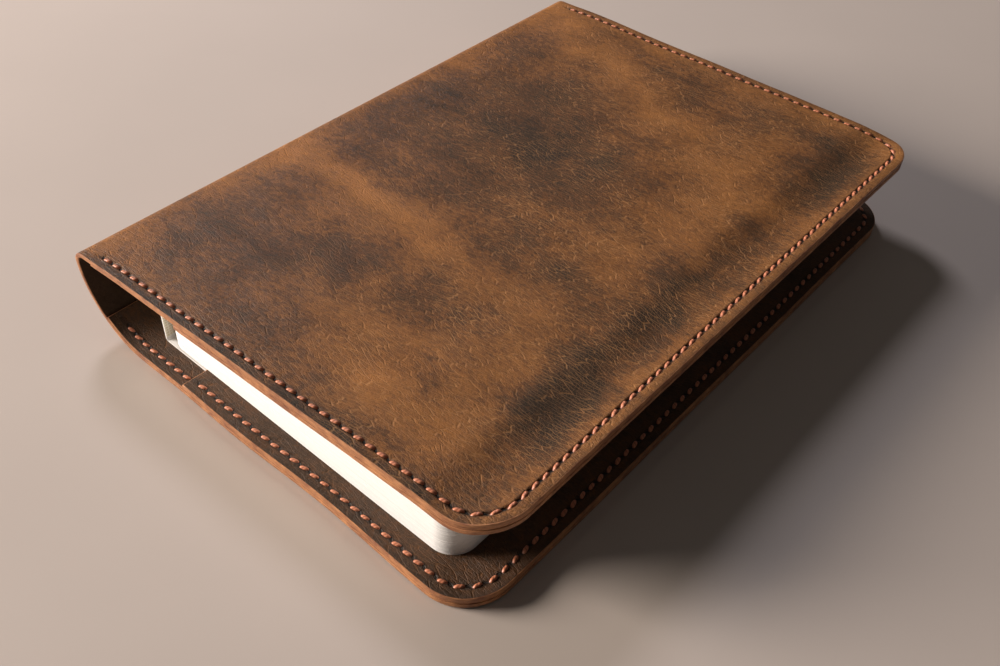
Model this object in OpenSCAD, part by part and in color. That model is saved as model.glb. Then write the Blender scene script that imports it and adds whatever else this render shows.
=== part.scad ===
/* [Notebook] */
// Width of the notebook, from spine to fore-edge
notebook_w = 120; // [90:1:180]
// Length of the notebook along its spine
notebook_l = 208; // [140:1:280]
// Thickness of the whole stack of pages
block_t = 20.8; // [12:0.2:26]
// Thickness of the notebook's card cover
card_t = 0.4; // [0.3:0.05:0.6]
// Radius of the notebook's corners
page_r = 8; // [4:0.5:10]
// Radius of the card's bend at the foot of the notebook's spine
card_bend_r = 1.2; // [0.8:0.1:1.4]
// Thickness of the gauze and glue on the backs of the sections
gauze_t = 0.3; // [0.2:0.05:0.5]

/* [Cover] */
// Distance from the notebook's fore-edge to the cover's
fore_margin = 13.5; // [5.5:0.5:20]
// Distance from each end of the notebook to the cover's end
end_margin = 9; // [7:0.5:14]
// Distance from the foot of the spine curve to the notebook's spine
spine_margin = 0.8; // [0.1:0.1:6]
// Distance from the notebook's spine to the mouth of each pocket
mouth_margin = 20; // [8:1:50]
// Radius of the rounded corners at the fore-edge
corner_r = 15; // [8:0.5:20]
// Outside radius of the tight fold between the spine and the front
top_fold_r = 4.5; // [3.5:0.25:6]

/* [Leather] */
// Thickness of the outer hide
hide_t = 1.5; // [1.2:0.1:2]
// Thickness of the lining leather
lining_t = 0.9; // [0.6:0.1:1.4]
// Thickness of the leather that closes each pocket
pocket_t = 1.1; // [0.8:0.1:1.6]
// Distance from the foot of the top fold to the edge of the front lining
front_lining_stop = 3.5; // [1:0.5:8]
// Distance from the lower fold line to the edge of the back lining
back_lining_stop = 1.6; // [0.6:0.2:4]

/* [Stitching] */
// Distance from the leather's edge to the stitch line
stitch_inset = 3.6; // [3:0.1:4.5]
// Distance from one stitch to the next
stitch_pitch = 4; // [3.2:0.1:5]
// Length of one stitch on the surface
stitch_len = 2.9; // [2:0.1:2.9]
// Thickness of the waxed thread
thread_d = 0.7; // [0.5:0.05:0.8]
// Thickness of the strand where it is pulled tight through the leather
strand_d = 0.6; // [0.4:0.05:0.7]
// Slant of each stitch across the line, in degrees
stitch_slant = 12; // [0:1:20]
// Width of the pressed groove that the outer stitches lie in
groove_w = 1.7; // [1.5:0.1:2.2]
// Depth of that groove
groove_d = 0.5; // [0.3:0.05:0.6]
// Distance from the lining's spine edge to the first stitch
first_stitch = 2; // [1.5:0.1:4]

/* [Clearances] */
// Gap at the two fold lines, where the hide is divided so that it can turn
fold_gap = 0.3; // [0.3:0.05:0.5]
// Gap between the lowest thread and the table
thread_gap = 0.05; // [0.05:0.05:0.1]
// Gap between the pages and the pocket below them
rest_gap = 0.1; // [0.05:0.05:0.3]
// Gap between parts that move past each other
move_gap = 0.3; // [0.3:0.05:0.6]
// Gap above and below a notebook cover in its pocket
card_play = 0.05; // [0.05:0.05:0.2]
// Gap round the other three edges of a notebook cover in its pocket
pocket_play = 1; // [0.5:0.1:1.5]

/* [Hidden] */
$fn = 64;

// How far a cut runs past the leather that it cuts
CUT = 1;

HIDE = "saddlebrown";
LINING = "sienna";
THREAD = "darksalmon";
CARD = "whitesmoke";
PAGE = "ivory";
GAUZE = "gainsboro";

// The leather of one side, layer by layer, and the whole height
slot_d = card_t + 2 * card_play;
pocket_h = slot_d + pocket_t;
side_h = hide_t + lining_t + pocket_h;
cover_h = 2 * side_h + rest_gap + block_t + move_gap;

// The spine: a tight fold at the top and one long curve below it
curve_r = cover_h - top_fold_r;
cover_w = curve_r + spine_margin + notebook_w + fore_margin;
cover_l = notebook_l + 2 * end_margin;
spine_x = -cover_w / 2;
fore_x = cover_w / 2;
curve_x = spine_x + curve_r;
top_fold_x = spine_x + top_fold_r;
front_lining_x = top_fold_x + front_lining_stop;
back_lining_climb = curve_r * PI / 4 - back_lining_stop;
back_lining_deg = back_lining_climb / curve_r * 180 / PI;

// Half of the fold gap, as an angle, for each side of each fold line
curve_gap_deg = fold_gap / 2 / curve_r * 180 / PI;
top_gap_deg = fold_gap / 2 / (top_fold_r - hide_t) * 180 / PI;

// The notebook
SECTIONS = 8;
book_x = curve_x + spine_margin;
book_end = book_x + notebook_w;
mouth_x = book_x + mouth_margin;
block_x = book_x + card_t + gauze_t;
block_z = side_h + rest_gap;
block_top = block_z + block_t;
section_t = block_t / SECTIONS;
card_z = hide_t + lining_t + card_play;

// The stitch line
line_r = corner_r - stitch_inset;
line_y = cover_l / 2 - stitch_inset;
line_x = fore_x - stitch_inset;
corner_x = fore_x - corner_r;
corner_y = cover_l / 2 - corner_r;
front_row_x = front_lining_x + first_stitch;
back_climb = back_lining_climb - first_stitch;

// ---- Plans and profiles ----

// A plate's plan: square at the spine side, rounded at the fore-edge side
module plan(x0, x1, half_l, r) {
    translate([x0, -half_l]) square([x1 - r - x0, 2 * half_l]);
    translate([x0, r - half_l]) square([x1 - x0, 2 * (half_l - r)]);
    for (side = [-1, 1]) translate([x1 - r, side * (half_l - r)]) circle(r);
}

module plate(x0, x1, half_l, r, z0, t) {
    translate([0, 0, z0]) linear_extrude(t) plan(x0, x1, half_l, r);
}

// Draws an X-Z profile along the whole length l, centred on y = 0
module along_y(l) {
    rotate([90, 0, 0]) linear_extrude(l, center = true) children();
}

// A wedge from angle a0 to a1, less than a half turn
module wedge(r, a0, a1) {
    mid = (a0 + a1) / 2;
    polygon([[0, 0], [cos(a0), sin(a0)] * 2 * r, [cos(mid), sin(mid)] * 2 * r,
        [cos(a1), sin(a1)] * 2 * r]);
}

// A bent strip of thickness t inside radius r, from angle a0 to a1
module bend(r, t, a0, a1) {
    intersection() {
        difference() {
            circle(r);
            circle(r - t);
        }
        wedge(r, a0, a1);
    }
}

module curve_bend(r, t, a0, a1) {
    translate([curve_x, curve_r]) bend(r, t, a0, a1);
}

module top_bend(r, t, a0, a1) {
    translate([top_fold_x, cover_h - top_fold_r]) bend(r, t, a0, a1);
}

// ---- Places along the stitch line ----

// Turns the back cover's parts over to make the front cover's
module as_front() {
    translate([0, 0, cover_h]) mirror([0, 0, 1]) children();
}

// Carries its child, which stands at the foot of the spine curve, up it by distance s
module climb(s) {
    translate([curve_x, 0, curve_r]) rotate([0, s / curve_r * 180 / PI, 0])
        translate([0, 0, -curve_r]) children();
}

// The height of the inner leather's face at a place x along a side
function inner_face(x) = x < mouth_x + stitch_len / 2 ? hide_t + lining_t : side_h;

// One stitch: a slanted bar on each face, and the strand through the leather between them
module stitch(inner_face) {
    outer_z = thread_gap + thread_d / 2;
    inner_z = inner_face + thread_d / 4;
    rotate([0, 0, stitch_slant]) {
        for (z = [outer_z, inner_z]) translate([0, 0, z])
            rotate([0, 90, 0]) cylinder(d = thread_d, h = stitch_len, center = true, $fn = 6);
        translate([stitch_len / 2 - thread_d, 0, outer_z])
            cylinder(d = strand_d, h = inner_z - outer_z, $fn = 6);
    }
}

// A straight row from x0 to the corner, on side -1 (tail) or 1 (head)
module edge_row(x0, side) {
    length = corner_x - x0;
    count = round(length / stitch_pitch);
    for (i = [0 : count - 1]) {
        x = x0 + (i + 0.5) * length / count;
        translate([x, side * line_y, 0]) stitch(inner_face(x));
    }
}

// The stitches that climb the spine curve at the back
module climbing_row(side) {
    count = floor(back_climb / stitch_pitch);
    for (i = [0 : count - 1])
        climb((i + 0.5) * stitch_pitch)
            translate([0, side * line_y, 0]) stitch(hide_t + lining_t);
}

// The row along the fore-edge and round its two corners
module fore_row() {
    length = 2 * corner_y;
    count = round(length / stitch_pitch);
    for (i = [0 : count - 1])
        translate([line_x, (i + 0.5) * length / count - corner_y, 0])
            rotate([0, 0, 90]) stitch(side_h);
    turns = round(line_r * PI / 2 / stitch_pitch);
    for (side = [-1, 1], i = [0 : turns - 1])
        translate([corner_x, side * corner_y, 0])
            rotate([0, 0, side * (i + 0.5) * 90 / turns])
                translate([line_r, 0, 0]) rotate([0, 0, 90]) stitch(side_h);
}

// The groove along the fore-edge, its corners and both straight rows: all that lies
// between two plans, one half a groove outside the stitch line and one half inside it
module groove(x0) {
    translate([0, 0, -CUT]) linear_extrude(groove_d + CUT) difference() {
        plan(x0, line_x + groove_w / 2, line_y + groove_w / 2, line_r + groove_w / 2);
        plan(x0 - CUT, line_x - groove_w / 2, line_y - groove_w / 2, line_r - groove_w / 2);
    }
}

// ---- Leather ----

module front_panel() color(HIDE) {
    as_front() difference() {
        plate(top_fold_x, fore_x, cover_l / 2, corner_r, 0, hide_t);
        groove(front_row_x - stitch_len / 2);
    }
    along_y(cover_l) top_bend(top_fold_r, hide_t, 90, 135 - top_gap_deg);
}

module spine_panel() color(HIDE) along_y(cover_l) {
    curve_bend(curve_r, hide_t, 180, 225 - curve_gap_deg);
    top_bend(top_fold_r, hide_t, 135 + top_gap_deg, 180);
}

module back_panel() color(HIDE) {
    difference() {
        plate(curve_x, fore_x, cover_l / 2, corner_r, 0, hide_t);
        groove(curve_x - CUT);
    }
    difference() {
        along_y(cover_l) curve_bend(curve_r, hide_t, 225 + curve_gap_deg, 270);
        for (side = [-1, 1]) translate([0, side * line_y, 0]) along_y(groove_w)
            curve_bend(curve_r + CUT, groove_d + CUT, 270 - back_lining_deg, 270 + CUT);
    }
}

module front_lining() color(LINING)
    as_front() plate(front_lining_x, fore_x, cover_l / 2, corner_r, hide_t, lining_t);

module back_lining() color(LINING) {
    plate(curve_x, fore_x, cover_l / 2, corner_r, hide_t, lining_t);
    along_y(cover_l) curve_bend(curve_r - hide_t, lining_t, 270 - back_lining_deg, 270);
}

// A pocket: its border lies on the lining and its middle leaves the slot
module pocket() color(LINING) difference() {
    plate(mouth_x, fore_x, cover_l / 2, corner_r, hide_t + lining_t, pocket_h);
    plate(mouth_x - CUT, book_end + pocket_play, notebook_l / 2 + pocket_play,
        page_r + pocket_play, hide_t + lining_t - CUT, slot_d + CUT);
}

module front_pocket() as_front() pocket();

module back_pocket() pocket();

// ---- Thread ----

module front_tail_stitches() color(THREAD) as_front() edge_row(front_row_x, -1);

module front_fore_stitches() color(THREAD) as_front() fore_row();

module front_head_stitches() color(THREAD) as_front() edge_row(front_row_x, 1);

module back_tail_stitches() color(THREAD) {
    edge_row(curve_x, -1);
    climbing_row(-1);
}

module back_fore_stitches() color(THREAD) fore_row();

module back_head_stitches() color(THREAD) {
    edge_row(curve_x, 1);
    climbing_row(1);
}

// ---- Notebook ----

module notebook_front_cover() color(CARD)
    as_front() plate(book_x, book_end, notebook_l / 2, page_r, card_z, card_t);

// The back cover and the spine are one piece of card
module notebook_back_cover() color(CARD) {
    plate(book_x + card_bend_r, book_end, notebook_l / 2, page_r, card_z, card_t);
    along_y(notebook_l) {
        translate([book_x + card_bend_r, card_z + card_bend_r]) bend(card_bend_r, card_t, 180, 270);
        translate([book_x, card_z + card_bend_r])
            square([card_t, block_top - card_z - card_bend_r]);
    }
}

module spine_gauze() color(GAUZE)
    translate([book_x + card_t, -notebook_l / 2, block_z])
        cube([gauze_t, notebook_l, block_t - section_t]);

// Section 1 is at the top; each has a round fold at its spine side
module section(number) {
    thickness = number == 1 ? section_t - move_gap : section_t;
    z0 = block_top - (number - 1) * section_t - thickness;
    color(PAGE) intersection() {
        plate(block_x, book_end, notebook_l / 2, page_r, z0, thickness);
        along_y(notebook_l) translate([0, z0]) {
            translate([block_x + thickness / 2, thickness / 2]) circle(thickness / 2);
            translate([block_x + thickness / 2, 0]) square([notebook_w, thickness]);
        }
    }
}

front_panel();
spine_panel();
back_panel();
front_lining();
back_lining();
front_pocket();
back_pocket();
front_tail_stitches();
front_fore_stitches();
front_head_stitches();
back_tail_stitches();
back_fore_stitches();
back_head_stitches();
notebook_front_cover();
notebook_back_cover();
spine_gauze();
section(1);  // section_1
section(2);  // section_2
section(3);  // section_3
section(4);  // section_4
section(5);  // section_5
section(6);  // section_6
section(7);  // section_7
section(8);  // section_8
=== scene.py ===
"""A stitched leather cover with a notebook in it, built round the packed CAD frame."""

import math
import random

import bpy
import numpy as np
from mathutils import Matrix, Vector


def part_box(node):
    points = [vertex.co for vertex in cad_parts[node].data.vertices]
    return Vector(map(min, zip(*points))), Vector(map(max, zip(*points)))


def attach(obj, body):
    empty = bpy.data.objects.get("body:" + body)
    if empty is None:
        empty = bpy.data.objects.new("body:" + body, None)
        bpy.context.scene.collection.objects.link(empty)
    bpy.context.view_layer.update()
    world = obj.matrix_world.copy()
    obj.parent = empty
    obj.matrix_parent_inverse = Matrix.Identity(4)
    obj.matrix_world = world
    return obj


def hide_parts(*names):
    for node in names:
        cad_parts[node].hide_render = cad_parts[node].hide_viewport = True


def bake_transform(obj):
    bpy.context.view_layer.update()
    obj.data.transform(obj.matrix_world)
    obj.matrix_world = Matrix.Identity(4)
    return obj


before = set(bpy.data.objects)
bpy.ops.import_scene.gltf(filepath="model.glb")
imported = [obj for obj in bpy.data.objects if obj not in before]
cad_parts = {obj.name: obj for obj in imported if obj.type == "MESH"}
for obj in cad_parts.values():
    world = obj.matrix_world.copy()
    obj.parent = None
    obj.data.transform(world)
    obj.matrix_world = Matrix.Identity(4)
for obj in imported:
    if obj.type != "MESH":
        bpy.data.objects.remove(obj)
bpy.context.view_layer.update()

bl_info = {
    "name": "Leather notebook cover",
    "version": (1, 0, 0),
    "blender": (4, 5, 0),
    "location": "3D View > Sidebar > Notebook Cover",
    "description": "Builds a hand-stitched leather notebook cover with its notebook",
    "category": "Add Mesh",
}

MM = 0.001


def linear(hex_colour):
    """Turns an sRGB hex colour into linear red, green and blue."""
    parts = [int(hex_colour[i : i + 2], 16) / 255 for i in (1, 3, 5)]
    return tuple(p / 12.92 if p <= 0.04045 else ((p + 0.055) / 1.055) ** 2.4 for p in parts)


# ---- The frame's own sizes, in metres ----

FRONT_LOW, FRONT_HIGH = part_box("front_panel")
LEAF_LOW, LEAF_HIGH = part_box("notebook_front_cover")
SPINE_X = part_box("spine_panel")[0].x
LINING_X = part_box("front_lining")[0].x
POCKET_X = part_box("front_pocket")[0].x
FORE_X = FRONT_HIGH.x
COVER_H = FRONT_HIGH.z
COVER_W = FORE_X - SPINE_X
HALF_L = (FRONT_HIGH.y - FRONT_LOW.y) / 2

# The slots of a piece of leather's materials
GRAIN, EDGE, FLESH = 0, 1, 2

SECTIONS = 8

# ---- Places on the leather, in metres ----

VALLEY_FROM, VALLEY_TO = 55 * MM, 66 * MM  # the outer face falls into the valley between these
BORDER_X = 67 * MM  # the stitched border at the fore-edge starts here
INNER_VALLEY_TO = 73 * MM  # the layers under the hide have reached the valley here
SLIDE_Y, JOINED_Y = 104.5 * MM, 108 * MM  # past these the layers lie on each other again
OPEN_Y = 92 * MM  # the leather is made coarser up to here, away from the stitches
SLOT_ROOM = 2.2 * MM  # space round the notebook's cover in its pocket
FRONT_SUNK, BACK_SUNK, INNER_SUNK = 0.18 * MM, 0.5 * MM, 0.05 * MM  # depth of the stitches


class CoverSizes(bpy.types.PropertyGroup):
    """Sizes of the leather cover."""

    hide_thickness: bpy.props.FloatProperty(
        name="Hide thickness",
        description="Thickness of the outer hide",
        default=1.5 * MM,
        unit="LENGTH",
    )
    lining_thickness: bpy.props.FloatProperty(
        name="Lining thickness",
        description="Thickness of the lining leather",
        default=0.9 * MM,
        unit="LENGTH",
    )
    slot_height: bpy.props.FloatProperty(
        name="Slot height",
        description="Height of the slot that the notebook's cover slides into",
        default=0.5 * MM,
        unit="LENGTH",
    )
    pocket_thickness: bpy.props.FloatProperty(
        name="Pocket thickness",
        description="Thickness of the leather that closes each pocket",
        default=1.1 * MM,
        unit="LENGTH",
    )
    corner_radius: bpy.props.FloatProperty(
        name="Corner radius",
        description="Radius of the rounded corners at the fore-edge",
        default=15 * MM,
        unit="LENGTH",
    )
    top_fold_radius: bpy.props.FloatProperty(
        name="Top fold radius",
        description="Outside radius of the tight fold between the spine and the front",
        default=4.5 * MM,
        unit="LENGTH",
    )
    edge_round: bpy.props.FloatProperty(
        name="Edge rounding",
        description="How far each cut edge has been rubbed round",
        default=0.3 * MM,
        unit="LENGTH",
    )
    notebook_lift: bpy.props.FloatProperty(
        name="Lift over the notebook",
        description="How far the soft front stands up over the notebook",
        default=1.0 * MM,
        unit="LENGTH",
    )
    valley_lift: bpy.props.FloatProperty(
        name="Valley",
        description="Height that is left in the valley beside the fore-edge",
        default=-0.1 * MM,
        unit="LENGTH",
    )
    fore_lift: bpy.props.FloatProperty(
        name="Fore-edge lift",
        description="How far the front's stitched border curls up at the fore-edge",
        default=1.4 * MM,
        unit="LENGTH",
    )
    front_skew: bpy.props.FloatProperty(
        name="Front skew",
        description="How far the front's fore-edge has slipped towards the head",
        default=5.3 * MM,
        unit="LENGTH",
    )
    table_lift: bpy.props.FloatProperty(
        name="Border wave",
        description="How far the back's border waves up from the table",
        default=0.7 * MM,
        unit="LENGTH",
    )
    edge_wave: bpy.props.FloatProperty(
        name="Edge wave",
        description="How far the back's tail and head edges wave in and out",
        default=0.7 * MM,
        unit="LENGTH",
    )


class StitchSizes(bpy.types.PropertyGroup):
    """Sizes of the stitching."""

    inset: bpy.props.FloatProperty(
        name="Inset",
        description="Distance from the leather's edge to the stitch line",
        default=3.6 * MM,
        unit="LENGTH",
    )
    pitch: bpy.props.FloatProperty(
        name="Pitch",
        description="Distance from one stitch to the next",
        default=4 * MM,
        unit="LENGTH",
    )
    length: bpy.props.FloatProperty(
        name="Stitch length",
        description="Length of one stitch from hole to hole",
        default=3.75 * MM,
        unit="LENGTH",
    )
    thread: bpy.props.FloatProperty(
        name="Thread width",
        description="Width of the waxed thread as it lies in the groove",
        default=1.2 * MM,
        unit="LENGTH",
    )
    slant: bpy.props.FloatProperty(
        name="Slant",
        description="Slant of each stitch across the line",
        default=math.radians(15),
        subtype="ANGLE",
    )
    groove_width: bpy.props.FloatProperty(
        name="Groove width",
        description="Width of the pressed groove that the outer stitches lie in",
        default=1.7 * MM,
        unit="LENGTH",
    )
    groove_depth: bpy.props.FloatProperty(
        name="Groove depth",
        description="Depth of that groove",
        default=0.5 * MM,
        unit="LENGTH",
    )


class NotebookSizes(bpy.types.PropertyGroup):
    """Sizes of the notebook."""

    page_radius: bpy.props.FloatProperty(
        name="Page corner radius",
        description="Radius of the notebook's rounded corners",
        default=8 * MM,
        unit="LENGTH",
    )
    leaves: bpy.props.IntProperty(
        name="Leaf bundles",
        description="How many bundles of leaves show on the edge of each section",
        default=9,
        min=2,
    )
    unevenness: bpy.props.FloatProperty(
        name="Page unevenness",
        description="How far the bundles of leaves stand out of line",
        default=0.08 * MM,
        unit="LENGTH",
    )


class CoverColours(bpy.types.PropertyGroup):
    """Colours of the leather, thread and paper."""

    hide_dark: bpy.props.FloatVectorProperty(
        name="Waxed hide",
        description="The hide where the wax still lies in it",
        default=linear("#342719"),
        size=3,
        subtype="COLOR",
    )
    hide_brown: bpy.props.FloatVectorProperty(
        name="Hide",
        description="The hide's middle brown",
        default=linear("#694222"),
        size=3,
        subtype="COLOR",
    )
    hide_tan: bpy.props.FloatVectorProperty(
        name="Pulled-up hide",
        description="The hide where bending has pushed the wax away",
        default=linear("#a86d35"),
        size=3,
        subtype="COLOR",
    )
    hide_crease: bpy.props.FloatVectorProperty(
        name="Creases",
        description="The fine lines where the hide has creased",
        default=linear("#c08a56"),
        size=3,
        subtype="COLOR",
    )
    lining_brown: bpy.props.FloatVectorProperty(
        name="Lining",
        description="The lining and pocket leather",
        default=linear("#4a3626"),
        size=3,
        subtype="COLOR",
    )
    cut_edge: bpy.props.FloatVectorProperty(
        name="Cut edge",
        description="The raw fibres at a cut edge",
        default=linear("#c58a5c"),
        size=3,
        subtype="COLOR",
    )
    thread: bpy.props.FloatVectorProperty(
        name="Thread",
        description="The waxed copper thread",
        default=linear("#d18562"),
        size=3,
        subtype="COLOR",
    )
    paper: bpy.props.FloatVectorProperty(
        name="Paper",
        description="The pages",
        default=linear("#faf8f4"),
        size=3,
        subtype="COLOR",
    )


class StageSettings(bpy.types.PropertyGroup):
    """The camera, lamps and floor."""

    azimuth: bpy.props.FloatProperty(
        name="Azimuth",
        description="Turn of the camera round the cover",
        default=math.radians(38.52),
        subtype="ANGLE",
    )
    elevation: bpy.props.FloatProperty(
        name="Elevation",
        description="Height of the camera above the table",
        default=math.radians(44.21),
        subtype="ANGLE",
    )
    roll: bpy.props.FloatProperty(
        name="Roll",
        description="Tilt of the camera about its own line of sight",
        default=math.radians(3.74),
        subtype="ANGLE",
    )
    distance: bpy.props.FloatProperty(
        name="Distance",
        description="Distance from the camera to the point it looks at",
        default=334.7 * MM,
        unit="LENGTH",
    )
    target: bpy.props.FloatVectorProperty(
        name="Target",
        description="The point that the camera looks at",
        default=(15.9 * MM, -29.0 * MM, 0),
        size=3,
        subtype="TRANSLATION",
    )
    lens: bpy.props.FloatProperty(
        name="Lens",
        description="Focal length of the camera, in millimetres",
        default=38.0,
    )
    floor: bpy.props.FloatVectorProperty(
        name="Floor",
        description="Colour of the plain floor",
        default=linear("#cdbfb4"),
        size=3,
        subtype="COLOR",
    )


def cover():
    return bpy.context.scene.leather_cover


def stitching():
    return bpy.context.scene.leather_stitching


def notebook():
    return bpy.context.scene.leather_notebook


def colours():
    return bpy.context.scene.leather_colours


# ---- Meshes ----


def places(piece):
    """The places of a mesh's points, one row each."""
    flat = np.zeros(len(piece.data.vertices) * 3)
    piece.data.vertices.foreach_get("co", flat)
    return flat.reshape(-1, 3)


def move_points(piece, at):
    piece.data.vertices.foreach_set("co", np.asarray(at, np.float32).ravel())
    piece.data.update()


def only(piece):
    """Makes one piece the only selected and active one."""
    bpy.ops.object.select_all(action="DESELECT")
    piece.select_set(True)
    bpy.context.view_layer.objects.active = piece


def paint(piece, name, values):
    """Stores one number or one vector for each point of a piece."""
    values = np.asarray(values, np.float32)
    kind = "FLOAT" if values.ndim == 1 else "FLOAT_VECTOR"
    field = "value" if values.ndim == 1 else "vector"
    attribute = piece.data.attributes.new(name, kind, "POINT")
    attribute.data.foreach_set(field, values.ravel())


def smoothstep(low, high, value):
    t = np.clip((value - low) / (high - low), 0, 1)
    return t * t * (3 - 2 * t)


def wave(seed, size, x, y):
    """A soft, uneven wave from -1 to 1 that rises and falls about once in each size.

    Each seed gives another wave.
    """
    dice = random.Random(seed)
    total = 0
    for _ in range(5):
        heading = dice.uniform(0, math.tau)
        length = size * dice.uniform(0.7, 1.6)
        across = x * math.cos(heading) + y * math.sin(heading)
        total = total + np.sin(across * math.tau / length + dice.uniform(0, math.tau))
    return total / 3.2


def lines(*stretches):
    """Places from the first stretch's start to the last one's end; each is (start, end, step)."""
    found = [stretches[0][0]]
    for start, end, step in stretches:
        count = max(1, round(abs(end - start) / step))
        found += [start + (end - start) * (i + 1) / count for i in range(count)]
    return np.array(found)


def rounded(x, y, end_x, half_y, radius):
    """Draws the square corners at the fore-edge round, ring by ring."""
    in_x = np.maximum(x - (end_x - radius), 0)
    in_y = np.maximum(np.abs(y) - (half_y - radius), 0)
    reach = np.hypot(in_x, in_y)
    scale = np.where(reach > 0, np.maximum(in_x, in_y) / np.maximum(reach, 1e-9), 1)
    new_x = np.where(in_x > 0, end_x - radius + in_x * scale, x)
    new_y = np.where(in_y > 0, np.sign(y) * (half_y - radius + in_y * scale), y)
    return new_x, new_y


def flat_sheet(name, xs, ys, radius, thickness, edge_round, seam=False):
    """A flat sheet with round corners at its high-x end, its outer face up at z = 0.

    Its cut edges are rubbed round, apart from the low-x one where seam says that it joins on.
    """
    bpy.ops.object.select_all(action="DESELECT")
    bpy.ops.mesh.primitive_grid_add(
        x_subdivisions=len(xs) - 1, y_subdivisions=len(ys) - 1, size=1
    )
    sheet = bpy.context.object
    sheet.name = sheet.data.name = name
    at = places(sheet)
    column = np.rint((at[:, 0] + 0.5) * (len(xs) - 1)).astype(int)
    row = np.rint((at[:, 1] + 0.5) * (len(ys) - 1)).astype(int)
    new_x, new_y = rounded(xs[column], ys[row], xs[-1], abs(ys[0]), radius)
    move_points(sheet, np.stack([new_x, new_y, np.zeros(len(at))], 1))
    # One bit for each side that a point lies on: low x, high x, low y, high y
    sides = 1 * (column == 0) + 2 * (column == len(xs) - 1)
    sides = sides + 4 * (row == 0) + 8 * (row == len(ys) - 1)

    sheet.data.materials.clear()
    for _ in range(3):
        sheet.data.materials.append(None)
    thick = sheet.modifiers.new("Thickness", "SOLIDIFY")
    thick.thickness = thickness
    thick.offset = -1
    thick.material_offset_rim = EDGE
    bpy.ops.object.modifier_apply(modifier=thick.name)

    both = np.concatenate([sides, sides])
    ends = np.zeros(len(sheet.data.edges) * 2, int)
    sheet.data.edges.foreach_get("vertices", ends)
    ends = ends.reshape(-1, 2)
    shared = both[ends[:, 0]] & both[ends[:, 1]]
    level = (ends[:, 0] < len(sides)) == (ends[:, 1] < len(sides))
    all_sides, all_but_low_x = 15, 14
    kept = (shared & (all_but_low_x if seam else all_sides)) > 0
    weight = sheet.data.attributes.new("bevel_weight_edge", "FLOAT", "EDGE")
    weight.data.foreach_set("value", (level & kept).astype(np.float32))
    rub = sheet.modifiers.new("Rubbed edge", "BEVEL")
    rub.limit_method = "WEIGHT"
    rub.width = edge_round
    rub.segments = 2
    rub.material = EDGE
    bpy.ops.object.modifier_apply(modifier=rub.name)
    return sheet


def tidy(piece, angle=40):
    """Turns every face outwards and shades the piece smooth up to an angle."""
    only(piece)
    bpy.ops.object.mode_set(mode="EDIT")
    bpy.ops.mesh.select_all(action="SELECT")
    bpy.ops.mesh.normals_make_consistent(inside=False)
    bpy.ops.object.mode_set(mode="OBJECT")
    bpy.ops.object.shade_smooth_by_angle(angle=math.radians(angle))


# ---- Where the leather lies ----
# A place in the leather is (x, y, depth): x is measured along the hide's outer face, and past
# the foot of a bend it goes on round the bend; depth is measured inwards from that face.


def curve_radius():
    return COVER_H - cover().top_fold_radius


def curve_x():
    return SPINE_X + curve_radius()


def top_fold_x():
    return SPINE_X + cover().top_fold_radius


def hide_ends():
    """Where the hide's front and back pieces end, each measured round its own bend."""
    quarter = math.pi / 2
    return (
        top_fold_x() - cover().top_fold_radius * quarter,
        curve_x() - curve_radius() * quarter,
    )


def bent(x, depth, foot, radius):
    """Place across and height of a point of the back's leather, which bends up at its foot."""
    turn = np.maximum(foot - x, 0) / radius
    across = np.where(turn > 0, foot - (radius - depth) * np.sin(turn), x)
    height = np.where(turn > 0, radius - (radius - depth) * np.cos(turn), depth)
    return across, height


def back_lift(x, y):
    """How far the back's border waves up, outside the notebook that holds the rest down."""
    past_end = smoothstep(LEAF_HIGH.y, HALF_L, np.abs(y))
    past_fore = smoothstep(LEAF_HIGH.x, FORE_X, x)
    outside = np.maximum(past_end, past_fore) * smoothstep(curve_x(), curve_x() + 25 * MM, x)
    return outside * cover().table_lift * (0.5 + 0.5 * wave(3, 75 * MM, x, y))


def back_place(x, y, depth):
    across, height = bent(x, depth, curve_x(), curve_radius())
    past_end = smoothstep(LEAF_HIGH.y, HALF_L, np.abs(y)) * smoothstep(curve_x(), 0, x)
    bulge = np.sign(y) * cover().edge_wave * past_end * wave(9, 75 * MM, x, y * 0)
    return np.stack([across, y + bulge, height + back_lift(x, y)], 1)


def front_lift(x, y, depth):
    """How far the soft front stands up: over the notebook, down in the valley, up at the border.

    The valley and the small waves are pressed into the hide's outer face. The layers under it stay
    smooth as far as the notebook's cover reaches, so that it can slide between them.
    """
    sizes = cover()
    near_end = 1 - 0.5 * smoothstep(95 * MM, HALF_L, np.abs(y))
    crown = smoothstep(top_fold_x(), top_fold_x() + 18 * MM, x) * near_end
    curl = (sizes.fore_lift - sizes.valley_lift) * smoothstep(BORDER_X, FORE_X + 1 * MM, x)
    slope = smoothstep(VALLEY_FROM, VALLEY_TO, x + 1.5 * MM * wave(8, 90 * MM, x * 0, y))
    waves = 0.22 * MM * wave(5, 42 * MM, x, y) + 0.12 * MM * wave(6, 17 * MM, x, y)
    outer = sizes.notebook_lift * crown * (1 - slope) + sizes.valley_lift * slope + curl
    outer = outer + waves * crown * (1 - 0.7 * slope)
    slope = smoothstep(BORDER_X, INNER_VALLEY_TO, x)
    crown = smoothstep(top_fold_x(), LINING_X, x) * near_end
    inner = sizes.notebook_lift * crown * (1 - slope) + sizes.valley_lift * slope + curl
    under = np.clip(depth / sizes.hide_thickness, 0, 1)
    under = under * (1 - smoothstep(SLIDE_Y, JOINED_Y, np.abs(y)))
    return outer + (inner - outer) * under


def front_place(x, y, depth):
    across, height = bent(x, depth, top_fold_x(), cover().top_fold_radius)
    slip = cover().front_skew * (across - SPINE_X) / COVER_W
    return np.stack([across, y + slip, COVER_H - height + front_lift(x, y, depth)], 1)


# ---- Where the stitches lie ----


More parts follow.
